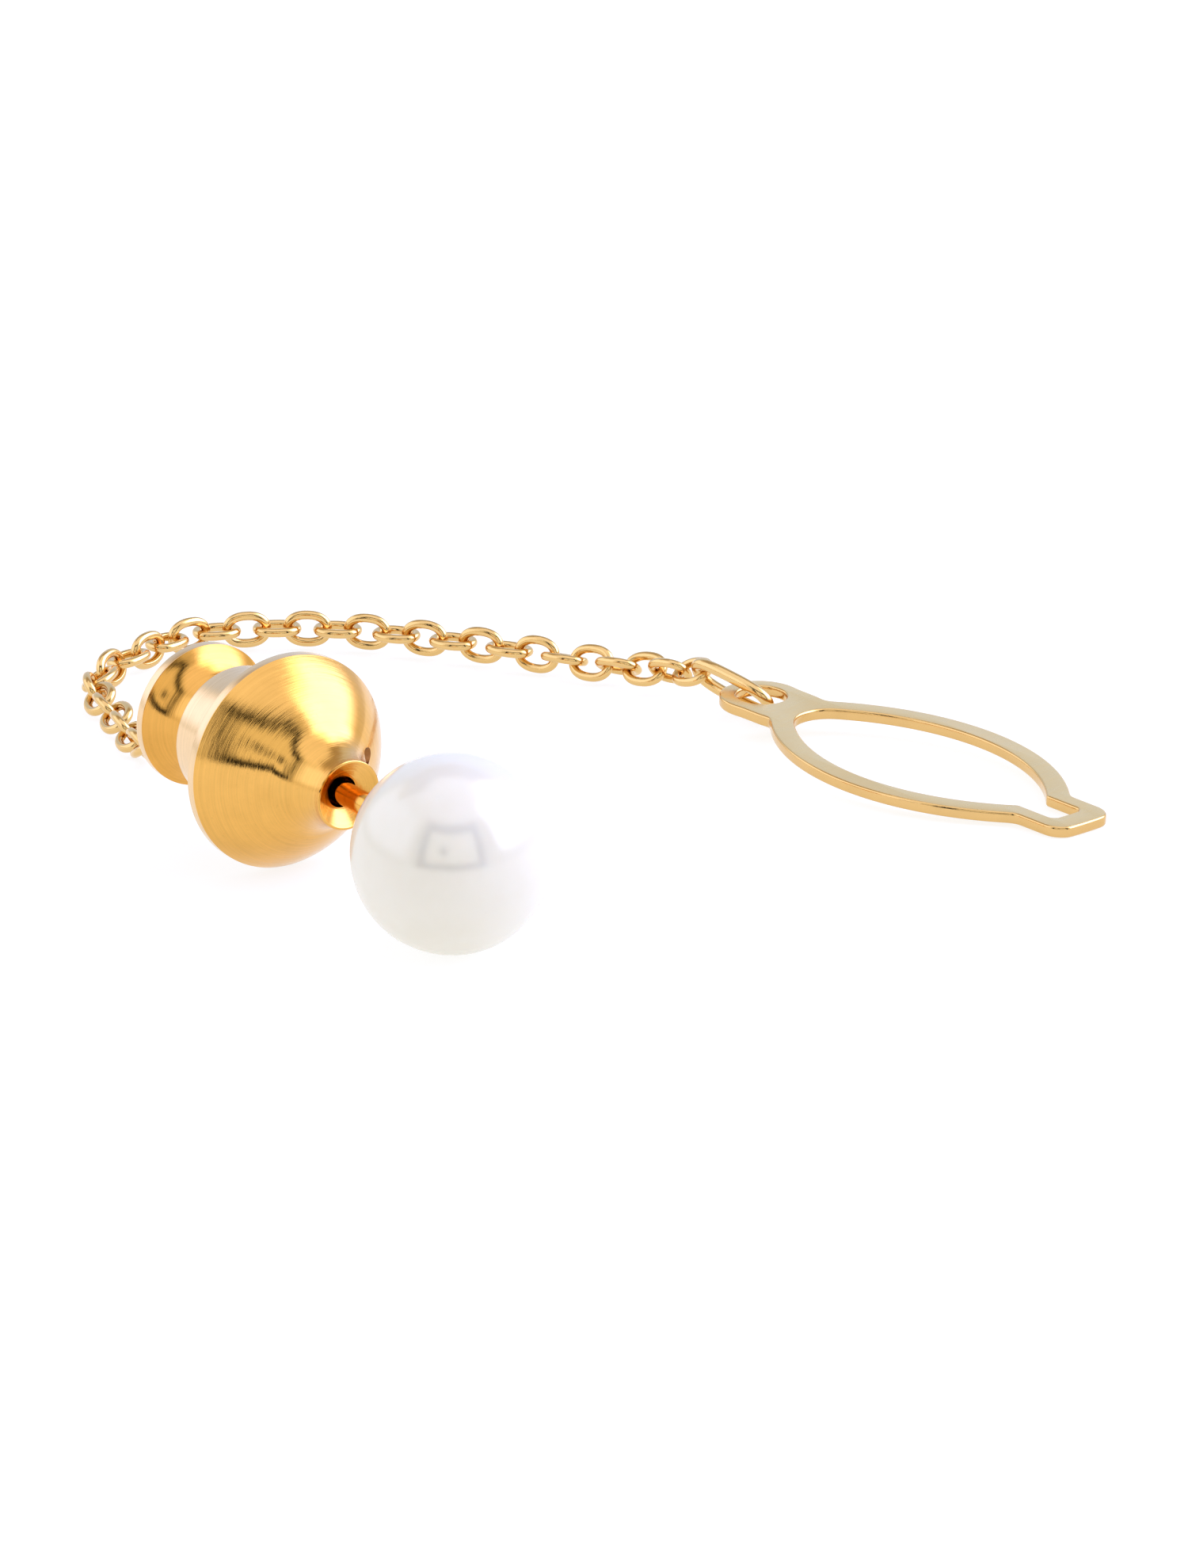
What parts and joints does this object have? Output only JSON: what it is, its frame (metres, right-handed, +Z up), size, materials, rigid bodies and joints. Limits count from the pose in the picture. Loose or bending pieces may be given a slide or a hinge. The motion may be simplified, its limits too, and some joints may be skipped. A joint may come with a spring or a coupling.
{
  "type": "tie tack",
  "caption": "Pearl tie tack: a pearl on a plain post, held by a sprung ball clutch with a pull knob, and a cable chain to a flat button loop.",
  "frame": {"origin": "middle of the footprint of the whole layout, on the surface it lies on", "axes": "+Y along the post from the pearl towards the clutch, to within 2.4 degrees; +X towards the button loop; +Z up from the surface it lies on"},
  "size_m": [0.0362, 0.0414, 0.0089],
  "materials": {
    "polished_gold": "polished yellow gold with fine turning lines",
    "chain_gold": "bright polished yellow gold wire",
    "satin_gold": "satin pale yellow gold",
    "steel": "polished",
    "nacre": "satin lustre of a white cultured pearl"
  },
  "bodies": {
    "clutch": {"clutch_shell": "polished_gold", "rear_cap": "polished_gold", "clutch_spring": "steel"},
    "pin": {"pearl": "nacre", "pearl_peg": "polished_gold", "pearl_cup": "polished_gold", "post": "polished_gold"},
    "plunger": {"ball_cage": "polished_gold", "pull_knob": "polished_gold", "chain_eyelet": "chain_gold"},
    "ball_1": {"grip_ball_1": "steel"},
    "ball_2": {"grip_ball_2": "steel"},
    "ball_3": {"grip_ball_3": "steel"},
    "link_01": {"chain_link_01": "chain_gold"},
    "link_02": {"chain_link_02": "chain_gold"},
    "link_03": {"chain_link_03": "chain_gold"},
    "link_04": {"chain_link_04": "chain_gold"},
    "link_05": {"chain_link_05": "chain_gold"},
    "link_06": {"chain_link_06": "chain_gold"},
    "link_07": {"chain_link_07": "chain_gold"},
    "link_08": {"chain_link_08": "chain_gold"},
    "link_09": {"chain_link_09": "chain_gold"},
    "link_10": {"chain_link_10": "chain_gold"},
    "link_11": {"chain_link_11": "chain_gold"},
    "link_12": {"chain_link_12": "chain_gold"},
    "link_13": {"chain_link_13": "chain_gold"},
    "link_14": {"chain_link_14": "chain_gold"},
    "link_15": {"chain_link_15": "chain_gold"},
    "link_16": {"chain_link_16": "chain_gold"},
    "link_17": {"chain_link_17": "chain_gold"},
    "link_18": {"chain_link_18": "chain_gold"},
    "link_19": {"chain_link_19": "chain_gold"},
    "link_20": {"chain_link_20": "chain_gold"},
    "link_21": {"chain_link_21": "chain_gold"},
    "link_22": {"chain_link_22": "chain_gold"},
    "link_23": {"chain_link_23": "chain_gold"},
    "link_24": {"chain_link_24": "chain_gold"},
    "link_25": {"chain_link_25": "chain_gold"},
    "link_26": {"chain_link_26": "chain_gold"},
    "link_27": {"chain_link_27": "chain_gold"},
    "link_28": {"chain_link_28": "chain_gold"},
    "link_29": {"chain_link_29": "chain_gold"},
    "link_30": {"chain_link_30": "chain_gold"},
    "link_31": {"chain_link_31": "chain_gold"},
    "link_32": {"chain_link_32": "chain_gold"},
    "link_33": {"chain_link_33": "chain_gold"},
    "link_34": {"chain_link_34": "chain_gold"},
    "link_35": {"chain_link_35": "chain_gold"},
    "link_36": {"chain_link_36": "chain_gold"},
    "link_37": {"chain_link_37": "chain_gold"},
    "ring": {"jump_ring": "chain_gold"},
    "loop": {"button_loop": "satin_gold"}
  },
  "joints": [
    {"name": "pin_slide", "type": "slide", "parent": "clutch", "child": "pin", "axis": [0, -0.9993, -0.0376], "range_m": [-0.003, 0.0083]},
    {"name": "knob_slide", "type": "slide", "parent": "clutch", "child": "plunger", "axis": [0, 0.9993, 0.0376], "range_m": [0, 0.0008], "stiffness_N_per_m": 300, "springref_m": -0.0003, "deforming": ["clutch_spring"]},
    {"name": "ball_1_slide", "type": "slide", "parent": "plunger", "child": "ball_1", "axis": [0, 0.0376, -0.9993], "range_m": [0, 0.000142]},
    {"name": "ball_2_slide", "type": "slide", "parent": "plunger", "child": "ball_2", "axis": [-0.866, -0.0188, 0.4996], "range_m": [0, 0.000142]},
    {"name": "ball_3_slide", "type": "slide", "parent": "plunger", "child": "ball_3", "axis": [0.866, -0.0188, 0.4996], "range_m": [0, 0.000142]},
    {"name": "link_01_hinge", "type": "hinge", "parent": "plunger", "child": "link_01", "pos_m": [-0.01366, 0.00279, 0.00473], "axis": [1, 0, 0], "range_deg": [-32, 32]},
    {"name": "link_02_hinge", "type": "hinge", "parent": "link_01", "child": "link_02", "pos_m": [-0.01331, 0.00396, 0.00441], "axis": [0.0503, 0.2017, 0.9781], "range_deg": [-32, 32]},
    {"name": "link_03_hinge", "type": "hinge", "parent": "link_02", "child": "link_03", "pos_m": [-0.01303, 0.00501, 0.00371], "axis": [-0.9753, 0.2012, -0.0905], "range_deg": [-32, 32]},
    {"name": "link_04_hinge", "type": "hinge", "parent": "link_03", "child": "link_04", "pos_m": [-0.01275, 0.006, 0.00295], "axis": [0.0494, -0.6061, -0.7938], "range_deg": [-32, 32]},
    {"name": "link_05_hinge", "type": "hinge", "parent": "link_04", "child": "link_05", "pos_m": [-0.01249, 0.00691, 0.00209], "axis": [0.9707, -0.0653, 0.2314], "range_deg": [-32, 32]},
    {"name": "link_06_hinge", "type": "hinge", "parent": "link_05", "child": "link_06", "pos_m": [-0.0122, 0.00787, 0.0013], "axis": [-0.2265, 0.6615, 0.7149], "range_deg": [-32, 32]},
    {"name": "link_07_hinge", "type": "hinge", "parent": "link_06", "child": "link_07", "pos_m": [-0.01184, 0.00902, 0.00082], "axis": [-0.8873, 0.0639, -0.4568], "range_deg": [-32, 32]},
    {"name": "link_08_hinge", "type": "hinge", "parent": "link_07", "child": "link_08", "pos_m": [-0.01145, 0.01023, 0.00067], "axis": [0.4702, -0.2915, -0.833], "range_deg": [-32, 32]},
    {"name": "link_09_hinge", "type": "hinge", "parent": "link_08", "child": "link_09", "pos_m": [-0.01106, 0.01145, 0.0007], "axis": [0.7808, -0.2477, 0.5736], "range_deg": [-32, 32]},
    {"name": "link_10_hinge", "type": "hinge", "parent": "link_09", "child": "link_10", "pos_m": [-0.01068, 0.01268, 0.0007], "axis": [-0.5815, 0.18, 0.7934], "range_deg": [-32, 32]},
    {"name": "link_11_hinge", "type": "hinge", "parent": "link_10", "child": "link_11", "pos_m": [-0.01031, 0.0139, 0.0007], "axis": [-0.7333, 0.2214, -0.6428], "range_deg": [-32, 32]},
    {"name": "link_12_hinge", "type": "hinge", "parent": "link_11", "child": "link_12", "pos_m": [-0.00995, 0.01513, 0.0007], "axis": [0.6481, -0.1907, -0.7373], "range_deg": [-32, 32]},
    {"name": "link_13_hinge", "type": "hinge", "parent": "link_12", "child": "link_13", "pos_m": [-0.0096, 0.01636, 0.0007], "axis": [0.6797, -0.1949, 0.7071], "range_deg": [-32, 32]},
    {"name": "link_14_hinge", "type": "hinge", "parent": "link_13", "child": "link_14", "pos_m": [-0.00887, 0.01743, 0.0007], "axis": [-0.4955, 0.3096, 0.8116], "range_deg": [-32, 32]},
    {"name": "link_15_hinge", "type": "hinge", "parent": "link_14", "child": "link_15", "pos_m": [-0.00788, 0.01824, 0.00078], "axis": [-0.5815, 0.6807, -0.4456], "range_deg": [-32, 32]},
    {"name": "link_16_hinge", "type": "hinge", "parent": "link_15", "child": "link_16", "pos_m": [-0.00675, 0.01885, 0.00085], "axis": [0.1916, -0.2318, -0.9537], "range_deg": [-32, 32]},
    {"name": "link_17_hinge", "type": "hinge", "parent": "link_16", "child": "link_17", "pos_m": [-0.00551, 0.0192, 0.00092], "axis": [0.2991, -0.9441, 0.139], "range_deg": [-32, 32]},
    {"name": "link_18_hinge", "type": "hinge", "parent": "link_17", "child": "link_18", "pos_m": [-0.0043, 0.01962, 0.0009], "axis": [-0.0227, 0.066, 0.9976], "range_deg": [-32, 32]},
    {"name": "link_19_hinge", "type": "hinge", "parent": "link_18", "child": "link_19", "pos_m": [-0.0031, 0.02007, 0.0009], "axis": [-0.342, 0.9397, 0], "range_deg": [-32, 32]},
    {"name": "link_20_hinge", "type": "hinge", "parent": "link_19", "child": "link_20", "pos_m": [-0.00181, 0.02002, 0.0009], "axis": [0, 0, -1], "range_deg": [-32, 32]},
    {"name": "link_21_hinge", "type": "hinge", "parent": "link_20", "child": "link_21", "pos_m": [-0.0006, 0.01956, 0.0009], "axis": [-0.309, -0.9511, 0], "range_deg": [-32, 32]},
    {"name": "link_22_hinge", "type": "hinge", "parent": "link_21", "child": "link_22", "pos_m": [0.00055, 0.01901, 0.0009], "axis": [0, 0, 1], "range_deg": [-32, 32]},
    {"name": "link_23_hinge", "type": "hinge", "parent": "link_22", "child": "link_23", "pos_m": [0.00164, 0.01833, 0.0009], "axis": [0.515, 0.8572, 0], "range_deg": [-32, 32]},
    {"name": "link_24_hinge", "type": "hinge", "parent": "link_23", "child": "link_24", "pos_m": [0.00264, 0.01753, 0.0009], "axis": [0, 0, -1], "range_deg": [-32, 32]},
    {"name": "link_25_hinge", "type": "hinge", "parent": "link_24", "child": "link_25", "pos_m": [0.00355, 0.01662, 0.0009], "axis": [-0.6947, -0.7193, 0], "range_deg": [-32, 32]},
    {"name": "link_26_hinge", "type": "hinge", "parent": "link_25", "child": "link_26", "pos_m": [0.00438, 0.01564, 0.0009], "axis": [0, 0, 1], "range_deg": [-32, 32]},
    {"name": "link_27_hinge", "type": "hinge", "parent": "link_26", "child": "link_27", "pos_m": [0.00511, 0.0146, 0.0009], "axis": [0.809, 0.5878, 0], "range_deg": [-32, 32]},
    {"name": "link_28_hinge", "type": "hinge", "parent": "link_27", "child": "link_28", "pos_m": [0.00584, 0.01355, 0.0009], "axis": [0, 0, -1], "range_deg": [-32, 32]},
    {"name": "link_29_hinge", "type": "hinge", "parent": "link_28", "child": "link_29", "pos_m": [0.00656, 0.01248, 0.0009], "axis": [-0.829, -0.5592, 0], "range_deg": [-32, 32]},
    {"name": "link_30_hinge", "type": "hinge", "parent": "link_29", "child": "link_30", "pos_m": [0.00725, 0.01141, 0.0009], "axis": [0, 0, 1], "range_deg": [-32, 32]},
    {"name": "link_31_hinge", "type": "hinge", "parent": "link_30", "child": "link_31", "pos_m": [0.00792, 0.01031, 0.00087], "axis": [0.8471, 0.5243, -0.0871], "range_deg": [-32, 32]},
    {"name": "link_32_hinge", "type": "hinge", "parent": "link_31", "child": "link_32", "pos_m": [0.00856, 0.00921, 0.00084], "axis": [-0.1604, -0.0697, -0.9846], "range_deg": [-32, 32]},
    {"name": "link_33_hinge", "type": "hinge", "parent": "link_32", "child": "link_33", "pos_m": [0.00917, 0.00808, 0.00084], "axis": [-0.8312, -0.4584, 0.3145], "range_deg": [-32, 32]},
    {"name": "link_34_hinge", "type": "hinge", "parent": "link_33", "child": "link_34", "pos_m": [0.00976, 0.00695, 0.00089], "axis": [0.3855, 0.2314, 0.8932], "range_deg": [-32, 32]},
    {"name": "link_35_hinge", "type": "hinge", "parent": "link_34", "child": "link_35", "pos_m": [0.01032, 0.0058, 0.00097], "axis": [0.7502, 0.3309, -0.5725], "range_deg": [-32, 32]},
    {"name": "link_36_hinge", "type": "hinge", "parent": "link_35", "child": "link_36", "pos_m": [0.01085, 0.00464, 0.00109], "axis": [-0.5831, -0.343, -0.7364], "range_deg": [-32, 32]},
    {"name": "link_37_hinge", "type": "hinge", "parent": "link_36", "child": "link_37", "pos_m": [0.01121, 0.00343, 0.0013], "axis": [-0.6521, -0.084, 0.7534], "range_deg": [-32, 32]},
    {"name": "ring_hinge", "type": "hinge", "parent": "link_37", "child": "ring", "pos_m": [0.0114, 0.00219, 0.00159], "axis": [0.8055, 0.2617, 0.5317], "range_deg": [-25, 25]},
    {"name": "loop_hinge", "type": "hinge", "parent": "ring", "child": "loop", "pos_m": [0.01241, -0.00087, 0.00095], "axis": [0, 0, 1], "range_deg": [-15, 15]}
  ],
  "couplings": [
    {"joint": "ball_1_slide", "follows": "knob_slide", "ratio": 0.17633},
    {"joint": "ball_2_slide", "follows": "knob_slide", "ratio": 0.17633},
    {"joint": "ball_3_slide", "follows": "knob_slide", "ratio": 0.17633}
  ]
}
